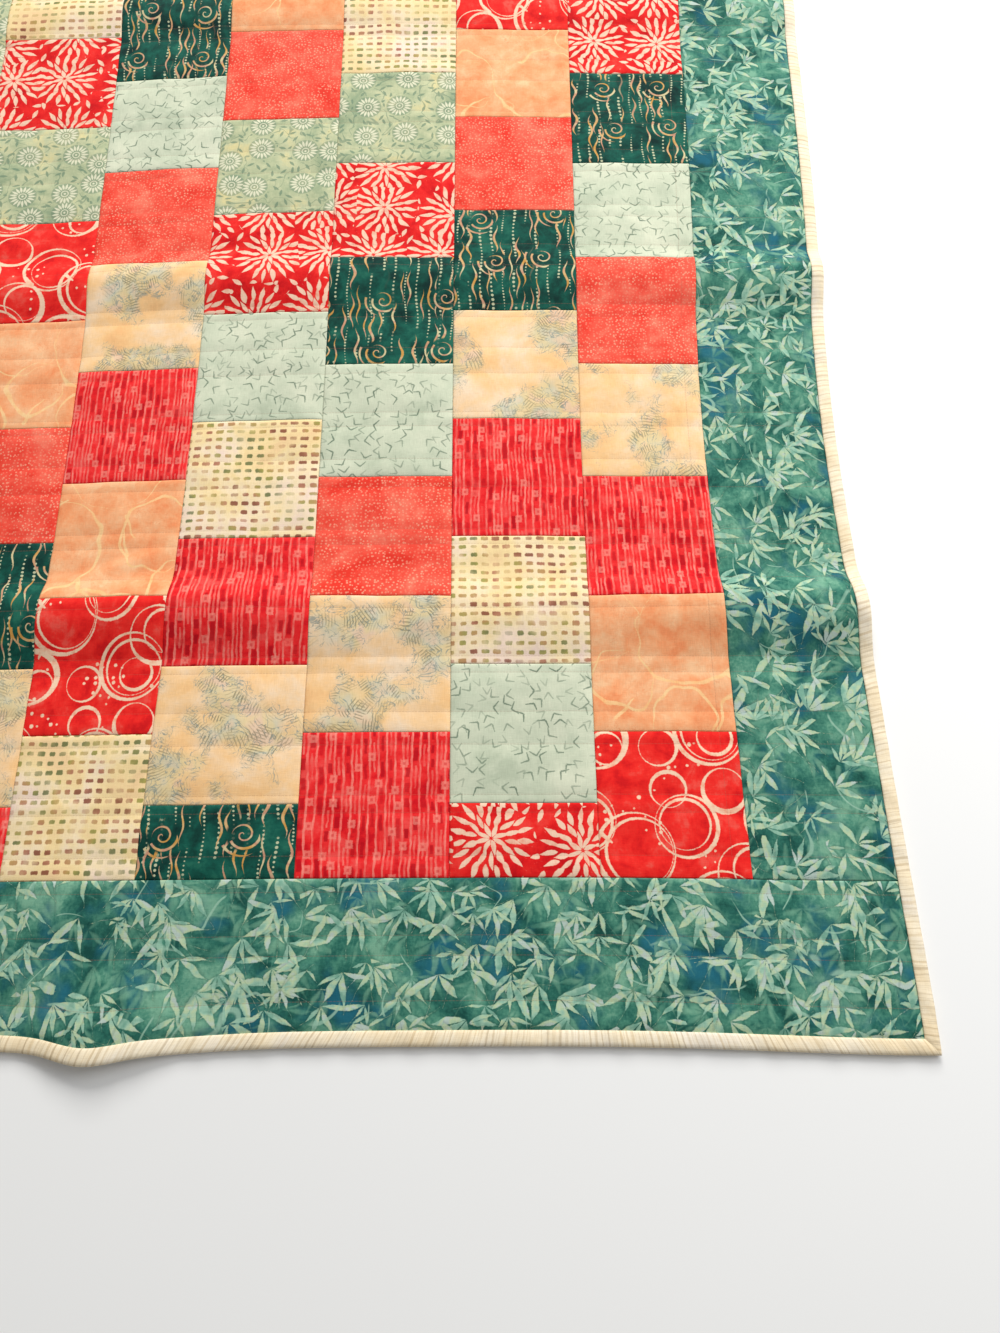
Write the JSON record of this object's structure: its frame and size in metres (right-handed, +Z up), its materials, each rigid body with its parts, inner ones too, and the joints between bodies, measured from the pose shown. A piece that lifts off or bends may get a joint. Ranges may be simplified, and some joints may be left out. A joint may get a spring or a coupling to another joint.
{
  "type": "patchwork quilt",
  "caption": "Flat lap-size patchwork quilt of half-dropped square patches, with print borders and a striped binding folded over its edge.",
  "frame": {"origin": "middle of the quilt's footprint, on the surface it lies on", "axes": "+X across the quilt to its right edge, +Y up its length to the top border, +Z up out of its face"},
  "size_m": [1.2824, 1.5142, 0.0176],
  "materials": {
    "pieced_field": "matt quilting cotton in batik prints of red, coral, peach, cream, sage and teal",
    "border_print": "matt quilting cotton, mottled teal and green with pale leaves",
    "binding_stripe": "matt quilting cotton, cream with fine tan stripes"
  },
  "bodies": {
    "root": {"field": "pieced_field", "border_right": "border_print", "border_left": "border_print", "border_top": "border_print", "border_bottom": "border_print", "binding": "binding_stripe"}
  },
  "joints": []
}
